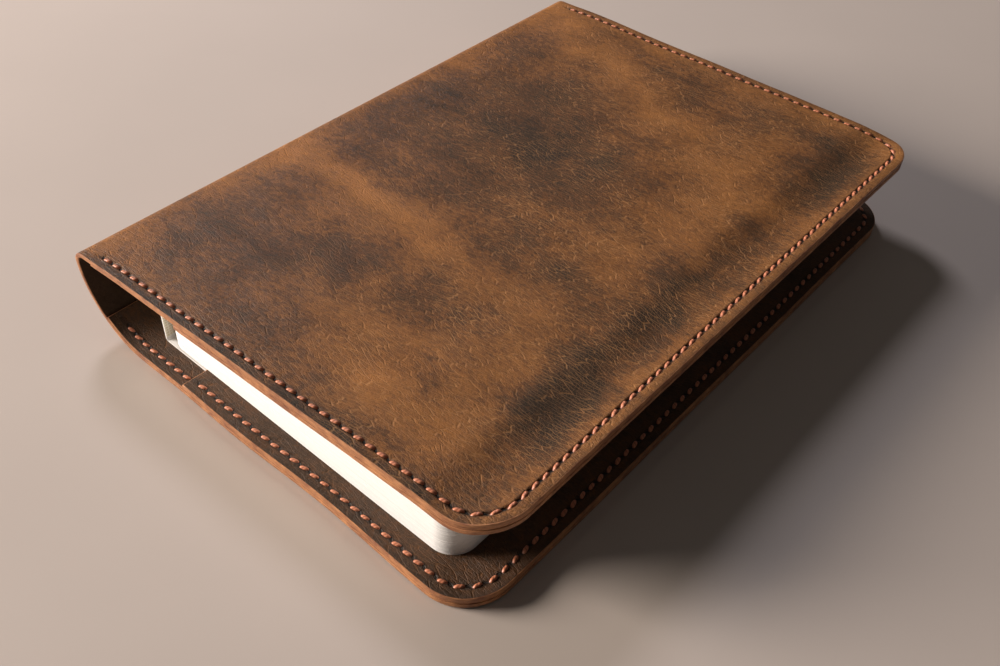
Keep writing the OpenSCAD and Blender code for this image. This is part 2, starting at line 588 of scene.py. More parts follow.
class Seam:
    """The stitch line of one side, in leather places."""

    def __init__(self, front):
        sizes = stitching()
        self.radius = cover().corner_radius - sizes.inset
        self.corner_x = FORE_X - cover().corner_radius
        self.corner_y = HALF_L - cover().corner_radius
        self.line_x = FORE_X - sizes.inset
        self.line_y = HALF_L - sizes.inset
        self.start = LINING_X + 2 * MM if front else curve_x()
        self.climbing = 0 if front else 3
        self.groove_start = self.start - (0.35 if front else 3.75) * sizes.pitch
        self.tail_count = round((self.corner_x - self.start) / sizes.pitch)
        self.tail_pitch = (self.corner_x - self.start) / self.tail_count
        self.turn_count = round(self.radius * math.pi / 2 / sizes.pitch)
        self.fore_count = round(2 * self.corner_y / sizes.pitch)
        self.fore_pitch = 2 * self.corner_y / self.fore_count

    def end_row(self, side):
        """(x, y, turn) of each stitch along the tail (side -1) or the head (side 1)."""
        pitch = stitching().pitch
        found = [self.start - (i + 0.5) * pitch for i in range(self.climbing)]
        found += [self.start + (i + 0.5) * self.tail_pitch for i in range(self.tail_count)]
        return [(x, side * self.line_y, 0) for x in sorted(found)]

    def fore_row(self):
        """(x, y, turn) of each stitch along the fore-edge and round its two corners."""
        quarter = math.pi / 2
        found = []
        for i in range(self.fore_count):
            found.append((self.line_x, (i + 0.5) * self.fore_pitch - self.corner_y, quarter))
        for side in (-1, 1):
            for i in range(self.turn_count):
                turn = side * (i + 0.5) * quarter / self.turn_count
                x = self.corner_x + self.radius * math.cos(turn)
                y = side * self.corner_y + self.radius * math.sin(turn)
                found.append((x, y, turn + quarter))
        return found

    def measure(self, x, y):
        """How many stitches along the line each place is, and how far outside the line."""
        past_x = x - self.corner_x
        past_y = np.abs(y) - self.corner_y
        at_corner = (past_x > 0) & (past_y > 0)
        along_end = np.where(
            x < self.start,
            (x - self.start) / stitching().pitch,
            (x - self.start) / self.tail_pitch,
        )
        turn = np.arctan2(np.maximum(past_x, 0), np.maximum(past_y, 1e-9)) / (math.pi / 2)
        along_fore = (self.corner_y - np.abs(y)) / self.fore_pitch
        along_fore = self.tail_count + self.turn_count + along_fore
        along = np.where(
            at_corner,
            self.tail_count + turn * self.turn_count,
            np.where(past_y > past_x, along_end, along_fore),
        )
        off = np.where(at_corner, np.hypot(past_x, past_y), np.maximum(past_x, past_y))
        return along, off - self.radius


# ---- Where the wax has been pushed away ----

# Patches of the unrolled hide: x and y of the middle, half length, half width, turn, and how much
# lighter (or darker) the hide is there. Most are clouds of wax; the ones marked below are painted
# shade and a painted sheen. Lengths in millimetres, turns in degrees.
WAX_AND_PAINTED_LIGHT_PATCHES = (
    (-62, 88, 20, 11, -10, 0.20),
    (-28, 84, 34, 8, -18, 0.30),
    (8, 67, 17, 8, -25, 0.34),
    (44, 48, 24, 9, -28, 0.36),
    (42, 14, 20, 24, 0, 0.22),
    (-45, -35, 42, 6, -4, 0.42),
    (5, -42, 26, 7, -6, 0.22),
    (44, -62, 16, 22, 0, 0.24),
    (2, -79, 20, 8, 0, 0.26),
    (34, -92, 22, 8, -6, 0.26),
    (-34, 54, 20, 10, -20, -0.22),
    (-8, 96, 12, 10, 0, -0.18),
    (-22, 24, 44, 20, -6, -0.36),
    (-70, -4, 14, 18, 0, -0.20),
    (34, -29, 16, 8, 0, -0.36),
    (-62, -80, 22, 12, 0, -0.22),
    (-22, -60, 16, 8, 0, -0.28),
    (10, -62, 12, 6, 0, -0.16),
    # Valley by the fore-edge: partly the hide's dark wax, partly painted shade on its slope
    (64, 82, 8, 26, 4, -0.34),
    (62, -4, 5, 26, 0, -0.36),
    (60, -56, 7, 26, 0, -0.58),
    (67, -56, 5, 24, 0, -0.26),
    (60, -14, 9, 9, 0, -0.30),
    (64, 50, 8, 14, 0, -0.14),
    (53, -90, 9, 8, 0, 0.32),
    (54, 14, 8, 7, 0, 0.14),
    (28, 45, 5, 16, 0, 0.12),
    (-36, -52, 12, 8, 0, 0.16),
    # Partly a painted sheen
    (-22, -90, 16, 6, 0, 0.14),
    (-46, -20, 12, 8, 0, -0.16),
    (-2, -75, 12, 6, 0, -0.14),
    (-47, 62, 9, 8, 0, 0.20),
    (-20, 90, 12, 6, 0, 0.14),
)


def pull_up_and_painted_light(x, y, unrolled, front):
    """How far the wax has been pushed away at each place, from 0 to 1; some painted shade and
    painted highlights are laid in as well.

    The clouds lie on the unrolled hide, so that they run on over the spine.
    """
    amount = 0.48 + 0.10 * wave(12, 60 * MM, unrolled, y) + 0.07 * wave(15, 24 * MM, unrolled, y)
    warp_x = unrolled / MM + 4 * wave(21, 30 * MM, unrolled, y)
    warp_x = warp_x + 2 * wave(22, 12 * MM, unrolled, y)
    warp_y = y / MM + 4 * wave(23, 30 * MM, unrolled, y)
    warp_y = warp_y + 2 * wave(24, 12 * MM, unrolled, y)
    for mid_x, mid_y, length, width, turn, change in WAX_AND_PAINTED_LIGHT_PATCHES:
        turn = math.radians(turn)
        along = (warp_x - mid_x) * math.cos(turn) + (warp_y - mid_y) * math.sin(turn)
        across = (warp_y - mid_y) * math.cos(turn) - (warp_x - mid_x) * math.sin(turn)
        amount = amount + change * np.exp(-((along / length) ** 2) - (across / width) ** 2)
    # The top fold is lighter: wax pushed away by the bend, and partly a painted sheen
    fold = (unrolled - top_fold_x()) / (5 * MM)
    amount = amount + 0.28 * np.exp(-(fold**2))
    # The head end is lighter: a painted highlight where light glances off the far end
    head = smoothstep(92 * MM, 106 * MM, y)
    if front:
        amount = amount + 0.22 * smoothstep(69 * MM, 76 * MM, x)
        amount = amount + 0.26 * head
        # The front's tail border outside the stitches, short of the fore-edge, is made darker
        amount = amount - 0.3 * smoothstep(110 * MM, 111 * MM, -y) * (x < 60 * MM)
    else:
        amount = amount + 0.26 * head * smoothstep(-40 * MM, -90 * MM, x)
        bend = (x - curve_x() + 12 * MM) / (12 * MM)
        amount = amount + 0.22 * np.exp(-(bend**2))
        amount = amount + 0.15 * smoothstep(69 * MM, 76 * MM, x)
    return np.clip(amount, 0, 1)


def creased(x, y):
    """How strongly the creases show along the unrolled hide: least beside the spine."""
    warped = x + 0.3 * y + 8 * MM * wave(31, 45 * MM, x, y)
    strength = 0.3 + 0.7 * smoothstep(-70 * MM, 10 * MM, warped)
    return strength + 0.35 * (1 - smoothstep(-130 * MM, -90 * MM, x))


def laid(front, at, depth):
    """Where points of the front's or the back's leather come to lie."""
    place = front_place if front else back_place
    return place(at[:, 0], at[:, 1], depth)


def finish_leather(sheet, front, outer_depth):
    """Stores the patterns' places on a flat sheet, presses its groove, and lays it in its place.

    Its outer face is at outer_depth; only the hide, at depth 0, has the groove.
    """
    at = places(sheet)
    x, y, depth = at[:, 0], at[:, 1], outer_depth - at[:, 2]
    seam = Seam(front)
    along, off = seam.measure(x, y)
    stitched = smoothstep(seam.groove_start - 0.4 * MM, seam.groove_start, x)
    if outer_depth == 0:
        reach = np.clip(np.abs(off) / (stitching().groove_width / 2), 0, 1)
        pressed = stitching().groove_depth * (1 - reach**2) ** 2 * stitched
        depth = depth + np.where(depth < 0.4 * MM, pressed, 0)
    unrolled = x if front else hide_ends()[0] + hide_ends()[1] - x
    paint(sheet, "hide", np.stack([unrolled, y, depth], 1))
    paint(sheet, "seam", np.stack([along, off, stitched], 1))
    paint(sheet, "pull", pull_up_and_painted_light(x, y, unrolled, front))
    paint(sheet, "creased", creased(unrolled, y))
    move_points(sheet, laid(front, at, depth))
    tidy(sheet)
    return depth


# ---- Materials ----


def node(tree, kind, inputs=None, **settings):
    """Adds one node, sets it up, and fills its inputs or links them to a socket or a node.

    A Mix node's inputs for colours are 0, how far it goes, and 6 and 7, from and to what.
    """
    made = tree.nodes.new("ShaderNode" + kind)
    for name, value in settings.items():
        setattr(made, name, value)
    for name, value in (inputs or {}).items():
        if isinstance(value, bpy.types.Node):
            value = next(socket for socket in value.outputs if socket.enabled)
        if isinstance(value, bpy.types.NodeSocket):
            tree.links.new(value, made.inputs[name])
        else:
            made.inputs[name].default_value = value
    return made


def new_material(name):
    material = bpy.data.materials.new(name)
    material.use_nodes = True
    material.node_tree.nodes.clear()
    return material, material.node_tree


def rgba(colour, share=1):
    return (*(part * share for part in colour), 1)


def pull_up_leather(name, dark, brown, tan, crease, wax):
    """Pull-up cowhide, oiled and waxed: dark at rest, and light where it has been bent.

    The eye sees soft dark and tan clouds, a net of fine light creases, and a low waxy gloss.
    """
    material, tree = new_material(name)
    hide = node(tree, "Attribute", attribute_name="hide").outputs["Vector"]
    seam = node(tree, "Attribute", attribute_name="seam").outputs["Vector"]
    # Pull holds the wax pulled up, with painted shade and painted highlights laid in
    pull = node(tree, "Attribute", attribute_name="pull").outputs["Fac"]
    creased = node(tree, "Attribute", attribute_name="creased").outputs["Fac"]

    # Clouds of wax about 22 by 11 mm and mottling about 4 by 2 mm, drawn out along the creases
    drawn = node(
        tree, "Mapping",
        {"Vector": hide, "Rotation": (0, 0, math.radians(12)), "Scale": (45, 95, 60)},
    )
    clouds = node(
        tree, "TexNoise",
        {"Vector": drawn, "Scale": 1, "Detail": 8, "Roughness": 0.66, "Distortion": 0.9},
    )
    mottle = node(
        tree, "TexNoise",
        {"Vector": drawn, "Scale": 6, "Detail": 5, "Roughness": 0.75, "Distortion": 0.5},
    )
    cloud = node(tree, "Math", {0: clouds, 1: 0.9, 2: -0.45}, operation="MULTIPLY_ADD")
    speck = node(tree, "Math", {0: mottle, 1: 0.6, 2: -0.3}, operation="MULTIPLY_ADD")
    tone = node(tree, "Math", {0: pull, 1: cloud}, operation="ADD")
    tone = node(tree, "Math", {0: tone, 1: speck}, operation="ADD")

    # Grain: cells about 1 mm across, each a little lighter or darker than the next
    grain_cells = node(tree, "Mapping", {"Vector": hide, "Scale": (850, 1150, 400)})
    grain = node(
        tree, "TexVoronoi",
        {"Vector": grain_cells, "Scale": 1, "Randomness": 1, "Smoothness": 0.4},
        feature="SMOOTH_F1",
        voronoi_dimensions="2D",
    )
    grain = node(tree, "SeparateXYZ", {0: grain.outputs["Color"]})
    tone = node(tree, "Math", {0: grain.outputs["X"], 1: 0.24, 2: tone}, operation="MULTIPLY_ADD")
    tone = node(tree, "Math", {0: tone, 1: -0.12}, operation="ADD")

    to_brown = node(tree, "MapRange", {"Value": tone, "From Min": 0.05, "From Max": 0.5})
    to_tan = node(tree, "MapRange", {"Value": tone, "From Min": 0.42, "From Max": 1.0})
    colour = node(tree, "Mix", {0: to_brown, 6: rgba(dark), 7: rgba(brown)}, data_type="RGBA")
    colour = node(tree, "Mix", {0: to_tan, 6: colour, 7: rgba(tan)}, data_type="RGBA")

    # Creases: long cells about 7 by 1 mm, and a net of cells about 1 by 0.5 mm in them
    fan = node(tree, "TexNoise", {"Vector": hide, "Scale": 40, "Detail": 1})
    fan = node(
        tree, "VectorMath",
        {0: fan.outputs["Color"], 1: (0.004, 0.010, 0), 2: hide},
        operation="MULTIPLY_ADD",
    )
    jitter = node(tree, "TexNoise", {"Vector": hide, "Scale": 700, "Detail": 2})
    warp = node(
        tree, "VectorMath",
        {0: jitter.outputs["Color"], 1: (0.0006, 0.0006, 0), 2: fan},
        operation="MULTIPLY_ADD",
    )
    long_cells = node(
        tree, "Mapping",
        {"Vector": warp, "Rotation": (0, 0, math.radians(7)), "Scale": (150, 880, 200)},
    )
    long_creases = node(
        tree, "TexVoronoi",
        {"Vector": long_cells, "Scale": 1, "Randomness": 0.9},
        feature="DISTANCE_TO_EDGE",
        voronoi_dimensions="2D",
    )
    net_cells = node(
        tree, "Mapping",
        {"Vector": warp, "Rotation": (0, 0, math.radians(-6)), "Scale": (900, 1900, 400)},
    )
    net_creases = node(
        tree, "TexVoronoi",
        {"Vector": net_cells, "Scale": 1, "Randomness": 1},
        feature="DISTANCE_TO_EDGE",
        voronoi_dimensions="2D",
    )
    long_line = node(
        tree, "MapRange",
        {"Value": long_creases, "From Min": 0.0, "From Max": 0.10, "To Min": 1.0, "To Max": 0.0},
        interpolation_type="SMOOTHSTEP",
    )
    net_line = node(
        tree, "MapRange",
        {"Value": net_creases, "From Min": 0.0, "From Max": 0.14, "To Min": 1.0, "To Max": 0.0},
        interpolation_type="SMOOTHSTEP",
    )
    worn = node(tree, "TexNoise", {"Vector": hide, "Scale": 45, "Detail": 4, "Roughness": 0.6})
    worn_here = node(
        tree, "MapRange",
        {"Value": worn, "From Min": 0.36, "From Max": 0.64, "To Min": 0.2, "To Max": 1.0},
    )
    net_part = node(tree, "Math", {0: net_line, 1: 0.5}, operation="MULTIPLY")
    all_lines = node(tree, "Math", {0: long_line, 1: net_part}, operation="MAXIMUM")
    shown_lines = node(tree, "Math", {0: all_lines, 1: worn_here}, operation="MULTIPLY")
    here = node(tree, "Math", {0: shown_lines, 1: creased}, operation="MULTIPLY")
    line_colour = node(tree, "Math", {0: here, 1: wax}, operation="MULTIPLY")
    colour = node(tree, "Mix", {0: line_colour, 6: colour, 7: rgba(crease)}, data_type="RGBA")

    # The stitch line: a pressed groove with a slanted awl hole between two stitches; both are
    # painted dark as shade
    split = node(tree, "SeparateXYZ", {0: seam})
    off = node(tree, "Math", {0: split.outputs["Y"]}, operation="ABSOLUTE")
    groove = node(
        tree, "MapRange",
        {"Value": off, "From Min": 0.0005, "From Max": 0.0013, "To Min": 1.0, "To Max": 0.0},
        interpolation_type="SMOOTHSTEP",
    )
    groove = node(tree, "Math", {0: groove, 1: split.outputs["Z"]}, operation="MULTIPLY")
    nearest = node(tree, "Math", {0: split.outputs["X"]}, operation="ROUND")
    from_hole = node(tree, "Math", {0: split.outputs["X"], 1: nearest}, operation="SUBTRACT")
    hole_place = node(tree, "CombineXYZ", {"X": from_hole, "Y": split.outputs["Y"]})
    # In millimetres (one pitch is 4 mm), then in the slit's half length and half width
    hole_turned = node(
        tree, "Mapping",
        {"Vector": hole_place, "Scale": (4.0, 1000, 1), "Rotation": (0, 0, math.radians(-35))},
    )
    hole_scaled = node(
        tree, "VectorMath", {0: hole_turned, 1: (1.25, 2.6, 0)}, operation="MULTIPLY"
    )
    hole_reach = node(tree, "VectorMath", {0: hole_scaled}, operation="LENGTH")
    hole = node(
        tree, "MapRange",
        {"Value": hole_reach, "From Min": 0.7, "From Max": 1.25, "To Min": 1.0, "To Max": 0.0},
        interpolation_type="SMOOTHSTEP",
    )
    hole = node(tree, "Math", {0: hole, 1: split.outputs["Z"]}, operation="MULTIPLY")
    # The rim outside the stitches is made a little darker
    rim = node(
        tree, "MapRange",
        {
            "Value": split.outputs["Y"], "From Min": 0.0012, "From Max": 0.0030, "To Min": 0.0,
            "To Max": 0.3,
        },
    )
    shade = node(tree, "Math", {0: groove, 1: 0.55, 2: rim}, operation="MULTIPLY_ADD")
    shade = node(tree, "Math", {0: shade, 1: hole}, operation="MAXIMUM")
    colour = node(tree, "Mix", {0: shade, 6: colour, 7: rgba(dark, 0.4)}, data_type="RGBA")

    # Relief: creases, pores about 0.6 mm apart, and the holes
    pores = node(tree, "TexNoise", {"Vector": hide, "Scale": 1700, "Detail": 3, "Roughness": 0.6})
    relief = node(tree, "Math", {0: all_lines, 1: -0.55, 2: pores}, operation="MULTIPLY_ADD")
    relief = node(tree, "Math", {0: hole, 1: -3.0, 2: relief}, operation="MULTIPLY_ADD")
    bump = node(tree, "Bump", {"Height": relief, "Strength": 0.7, "Distance": 0.0003})
    rough = node(
        tree, "MapRange",
        {"Value": creased, "From Min": 0.3, "From Max": 0.8, "To Min": 0.44, "To Max": 0.62},
    )
    surface = node(
        tree, "BsdfPrincipled",
        {
            "Base Color": colour, "Roughness": rough, "Normal": bump, "IOR": 1.47,
            "Specular IOR Level": 0.32,
        },
    )
    node(tree, "OutputMaterial", {"Surface": surface})
    return material


def raw_edge(name, fibre, stain):
    """Cut leather edge: vegetable-tanned fibres, rubbed with wax but not painted.

    The eye sees orange fibres in uneven streaks along the edge, dark nicks, and a slight shine.
    """
    material, tree = new_material(name)
    hide = node(tree, "Attribute", attribute_name="hide").outputs["Vector"]
    stretched = node(tree, "Mapping", {"Vector": hide, "Scale": (420, 420, 2600)})
    streaks = node(
        tree, "TexNoise", {"Vector": stretched, "Scale": 1, "Detail": 5, "Roughness": 0.7}
    )
    blots = node(tree, "TexNoise", {"Vector": hide, "Scale": 160, "Detail": 4, "Roughness": 0.6})
    total = node(tree, "Math", {0: streaks, 1: blots}, operation="ADD")
    stained = node(
        tree, "MapRange",
        {"Value": total, "From Min": 0.78, "From Max": 1.22, "To Min": 1.0, "To Max": 0.0},
    )
    colour = node(tree, "Mix", {0: stained, 6: rgba(fibre), 7: rgba(stain)}, data_type="RGBA")
    bump = node(tree, "Bump", {"Height": streaks, "Strength": 0.6, "Distance": 0.0003})
    surface = node(
        tree, "BsdfPrincipled",
        {"Base Color": colour, "Roughness": 0.5, "Normal": bump, "Specular IOR Level": 0.4},
    )
    node(tree, "OutputMaterial", {"Surface": surface})
    return material


def flesh_side(name, nap):
    """The hide's flesh side: split and buffed, so that it is matt and softly fibrous."""
    material, tree = new_material(name)
    hide = node(tree, "Attribute", attribute_name="hide").outputs["Vector"]
    fibres = node(
        tree, "TexNoise",
        {"Vector": hide, "Scale": 900, "Detail": 5, "Roughness": 0.7, "Distortion": 0.8},
    )
    clouds = node(tree, "TexNoise", {"Vector": hide, "Scale": 90, "Detail": 3})
    both = node(tree, "Math", {0: fibres, 1: clouds}, operation="MULTIPLY")
    light = node(tree, "MapRange", {"Value": both, "From Min": 0.12, "From Max": 0.4})
    colour = node(tree, "Mix", {0: light, 6: rgba(nap, 0.55), 7: rgba(nap)}, data_type="RGBA")
    bump = node(tree, "Bump", {"Height": fibres, "Strength": 0.5, "Distance": 0.0003})
    surface = node(
        tree, "BsdfPrincipled",
        {
            "Base Color": colour, "Roughness": 0.9, "Normal": bump, "Specular IOR Level": 0.2,
            "Sheen Weight": 0.15, "Sheen Roughness": 0.5,
        },
    )
    node(tree, "OutputMaterial", {"Surface": surface})
    return material


def waxed_thread(name, colour):
    """Waxed polyester thread of twisted plies: satin, light caught on each turn, painted shade
    between.
    """
    material, tree = new_material(name)
    strand = node(tree, "Attribute", attribute_name="strand").outputs["Vector"]
    twist = node(tree, "Mapping", {"Vector": strand, "Rotation": (0, 0, math.radians(38))})
    # One turn of a ply shows every 1.4 mm along the thread, which is coarse enough to see
    plies = node(
        tree, "TexWave", {"Vector": twist, "Scale": 285, "Distortion": 0}, bands_direction="X"
    )
    turned = node(
        tree, "MapRange", {"Value": plies.outputs["Fac"], "From Min": 0.0, "From Max": 0.6}
    )
    place = node(tree, "TexCoord")
    worn = node(tree, "TexNoise", {"Vector": place.outputs["Object"], "Scale": 120, "Detail": 3})
    # Painted shade in the grooves between the plies, patchier where the worn noise is low
    ply_shade_and_wear = node(tree, "Math", {0: turned, 1: worn}, operation="MULTIPLY")
    shade = node(
        tree, "MapRange",
        {"Value": ply_shade_and_wear, "From Min": 0.05, "From Max": 0.45, "To Min": 0.55, "To Max": 0.0},
    )
    mixed = node(
        tree, "Mix",
        {
            0: shade, 6: rgba(colour),
            7: rgba([colour[0] * 0.42, colour[1] * 0.3, colour[2] * 0.26]),
        },
        data_type="RGBA",
    )
    bump = node(
        tree, "Bump", {"Height": plies.outputs["Fac"], "Strength": 0.6, "Distance": 0.00012}
    )
    surface = node(
        tree, "BsdfPrincipled",
        {"Base Color": mixed, "Roughness": 0.38, "Normal": bump, "Specular IOR Level": 0.5},
    )
    node(tree, "OutputMaterial", {"Surface": surface})
    return material


def uncoated_paper(name, colour, leaf_gap):
    """Uncoated book paper, trimmed: matt white, with faint grey lines of painted shade between the
    leaves.
    """
    material, tree = new_material(name)
    place = node(tree, "TexCoord").outputs["Object"]
    layers = node(tree, "Mapping", {"Vector": place, "Scale": (30, 30, 1 / leaf_gap)})
    leaves = node(tree, "TexNoise", {"Vector": layers, "Scale": 1, "Detail": 2, "Roughness": 0.8})
    fibres = node(tree, "TexNoise", {"Vector": place, "Scale": 1400, "Detail": 3})
    line = node(
        tree, "MapRange",
        {"Value": leaves, "From Min": 0.36, "From Max": 0.5, "To Min": 0.82, "To Max": 1.0},
    )
    faint = node(
        tree, "MapRange",
        {"Value": fibres, "From Min": 0.3, "From Max": 0.7, "To Min": 0.96, "To Max": 1.0},
    )
    # The painted shade lines show only where the paper faces sideways, at the cut leaves
    facing = node(tree, "TexCoord").outputs["Normal"]
    facing = node(tree, "SeparateXYZ", {0: facing})
    level = node(tree, "Math", {0: facing.outputs["Z"]}, operation="ABSOLUTE")
    line = node(tree, "Math", {0: line, 1: level}, operation="MAXIMUM")
    both = node(tree, "Math", {0: line, 1: faint}, operation="MULTIPLY")
    mixed = node(tree, "Mix", {0: both, 6: rgba(colour, 0.6), 7: rgba(colour)}, data_type="RGBA")
    bump = node(tree, "Bump", {"Height": leaves, "Strength": 0.25, "Distance": 0.0001})
    surface = node(
        tree, "BsdfPrincipled",
        {"Base Color": mixed, "Roughness": 0.8, "Normal": bump, "Specular IOR Level": 0.3},
    )
    node(tree, "OutputMaterial", {"Surface": surface})
    return material


def white_card(name, colour):
    """Pressed card with a smooth sized surface: off-white, a little glossier than the pages."""
    material, tree = new_material(name)
    place = node(tree, "TexCoord").outputs["Object"]
    mottle = node(tree, "TexNoise", {"Vector": place, "Scale": 60, "Detail": 4})
    fibres = node(tree, "TexNoise", {"Vector": place, "Scale": 1800, "Detail": 3})
    tint = node(tree, "MapRange", {"Value": mottle, "From Min": 0.3, "From Max": 0.7})
    mixed = node(tree, "Mix", {0: tint, 6: rgba(colour, 0.9), 7: rgba(colour)}, data_type="RGBA")
    bump = node(tree, "Bump", {"Height": fibres, "Strength": 0.15, "Distance": 0.00005})
    surface = node(
        tree, "BsdfPrincipled",
        {"Base Color": mixed, "Roughness": 0.55, "Normal": bump, "Specular IOR Level": 0.4},
    )
    node(tree, "OutputMaterial", {"Surface": surface})
    return material


def glued_gauze(name, thread, glue):
    """Open-weave cotton gauze set in glue: a grid of threads 1 mm apart with glue between them."""
    material, tree = new_material(name)
    place = node(tree, "TexCoord").outputs["Object"]
    split = node(tree, "SeparateXYZ", {0: place})
    turns = 6283  # radians in a metre, which puts a thread every millimetre
    along = node(tree, "Math", {0: split.outputs["Y"], 1: turns}, operation="MULTIPLY")
    along = node(tree, "Math", {0: along}, operation="SINE")
    up = node(tree, "Math", {0: split.outputs["Z"], 1: turns}, operation="MULTIPLY")
    up = node(tree, "Math", {0: up}, operation="SINE")
    weave = node(tree, "Math", {0: along, 1: up}, operation="MAXIMUM")
    shown = node(tree, "MapRange", {"Value": weave, "From Min": 0.4, "From Max": 0.8})
    mixed = node(tree, "Mix", {0: shown, 6: rgba(glue), 7: rgba(thread)}, data_type="RGBA")
    bump = node(tree, "Bump", {"Height": shown, "Strength": 0.5, "Distance": 0.0001})
    surface = node(
        tree, "BsdfPrincipled",
        {"Base Color": mixed, "Roughness": 0.7, "Normal": bump, "Specular IOR Level": 0.4},
    )
    node(tree, "OutputMaterial", {"Surface": surface})
    return material


def plain_floor(name, colour):
    """A plain painted board: pale and matt, with a very faint brushed unevenness."""
    material, tree = new_material(name)
    place = node(tree, "TexCoord").outputs["Object"]
    brushed = node(tree, "TexNoise", {"Vector": place, "Scale": 9, "Detail": 5})
    tint = node(tree, "MapRange", {"Value": brushed, "From Min": 0.3, "From Max": 0.7})
    mixed = node(tree, "Mix", {0: tint, 6: rgba(colour, 0.95), 7: rgba(colour)}, data_type="RGBA")
    surface = node(
        tree, "BsdfPrincipled", {"Base Color": mixed, "Roughness": 0.75, "Specular IOR Level": 0.3}
    )
    node(tree, "OutputMaterial", {"Surface": surface})
    return material


def dress(piece, materials):
    """Gives a piece its materials."""
    while len(piece.data.materials) < len(materials):
        piece.data.materials.append(None)
    for place, material in enumerate(materials):
        piece.data.materials[place] = material


def shared(name, make, *settings):
    """The material of that name, made the first time it is asked for."""
    return bpy.data.materials.get(name) or make(name, *settings)


def edge_material():
    stain = linear("#86543a")
    return shared("Leather edge, cut and waxed", raw_edge, colours().cut_edge, stain)


def hide_materials():
    tones = colours()
    grain = shared(
        "Pull-up cowhide, oiled and waxed",
        pull_up_leather,
        tones.hide_dark,
        tones.hide_brown,
        tones.hide_tan,
        tones.hide_crease,
        0.62,
    )
    edge = edge_material()
    flesh = shared("Hide's flesh side, buffed", flesh_side, tones.lining_brown)
    return grain, edge, flesh


def lining_materials():
    tones = colours()
    grain = shared(
        "Lining cowhide, oiled",
        pull_up_leather,
        [c * 0.6 for c in tones.lining_brown],
        tones.lining_brown,
        tones.hide_brown,
        tones.hide_tan,
        0.3,
    )
    return grain, edge_material()


# ---- Operators ----


class COVER_OT_outer_hide(bpy.types.Operator):
    """Make the outer hide: the back with the spine's lower half, and the front with the rest"""

    bl_idname = "leather_cover.outer_hide"
    bl_label = "Outer hide"

    def execute(self, context):
        sizes = cover()
        ys = border_lines(HALF_L)
        front_end, back_end = hide_ends()
        back_xs = lines((back_end, curve_x(), 1.1 * MM), *long_stretches(curve_x()))
        front_xs = lines((front_end, top_fold_x(), 0.6 * MM), *long_stretches(top_fold_x()))
        for name, xs, front in (
            ("outer_hide_back", back_xs, False),
            ("outer_hide_front", front_xs, True),
        ):
            thickness = sizes.hide_thickness
            sheet = flat_sheet(
                name, xs, ys, sizes.corner_radius, thickness, sizes.edge_round, seam=True
            )
            depth = finish_leather(sheet, front, 0)
            dress(sheet, hide_materials())
            inner = depth > thickness - 0.1 * MM
            for face in sheet.data.polygons:
                if face.material_index == GRAIN and inner[face.vertices[0]]:
                    face.material_index = FLESH
        back = bpy.data.objects["outer_hide_back"]
        front = bpy.data.objects["outer_hide_front"]
        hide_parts("back_panel", "spine_panel")
        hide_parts("front_panel")
        lower_bend(back)
        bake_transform(front)
        return {"FINISHED"}


def lower_bend(piece):
    """Bakes a piece's transform into its mesh."""
    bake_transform(piece)


def long_stretches(start):
    """Stretches from a place at the spine to the fore-edge, close together at the stitch line."""
    line = FORE_X - stitching().inset
    return (
        (start, 50 * MM, 1.6 * MM),
        (50 * MM, line - 1.8 * MM, 1.2 * MM),
        (line - 1.8 * MM, line + 1.5 * MM, 0.33 * MM),
        (line + 1.5 * MM, FORE_X, 0.5 * MM),
    )


def border_lines(half, step=1.6 * MM):
    """Places across the leather, close together at the two stitch lines."""
    line = HALF_L - stitching().inset
    side = [
        (half, line + 1.5 * MM, 0.5 * MM),
        (line + 1.5 * MM, line - 1.8 * MM, 0.33 * MM),
        (line - 1.8 * MM, OPEN_Y, 1.2 * MM),
    ]
    low = [(-a, -b, c) for a, b, c in side]
    high = [(b, a, c) for a, b, c in reversed(side)]
    return lines(*low, (-OPEN_Y, OPEN_Y, step), *high)


class COVER_OT_linings(bpy.types.Operator):
    """Make the two linings, which cover the inside of the back and of the front"""

    bl_idname = "leather_cover.linings"
    bl_label = "Linings"

    def execute(self, context):
        sizes = cover()
        tuck = 0.15 * MM  # how far the lining stays back from the cut edge
        ys = border_lines(HALF_L - tuck, 2.4 * MM)
        climb = math.pi / 4 * curve_radius() - 1.6 * MM
        low_ends = {True: LINING_X, False: curve_x() - climb}
        for name, node_name, front in (
            ("inner_lining_back", "back_lining", False),
            ("inner_lining_front", "front_lining", True),
        ):
            stretches = long_stretches(curve_x())
            xs = lines((low_ends[front], curve_x(), 1.5 * MM), *stretches)
            xs[-1] -= tuck
            thickness = sizes.lining_thickness
            sheet = flat_sheet(name, xs, ys, sizes.corner_radius, thickness, 0.2 * MM)
            finish_leather(sheet, front, sizes.hide_thickness)
            dress(sheet, lining_materials())
            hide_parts(node_name)
            if front:
                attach(sheet, "front_cover")
            else:
                lower_bend(sheet)
        return {"FINISHED"}


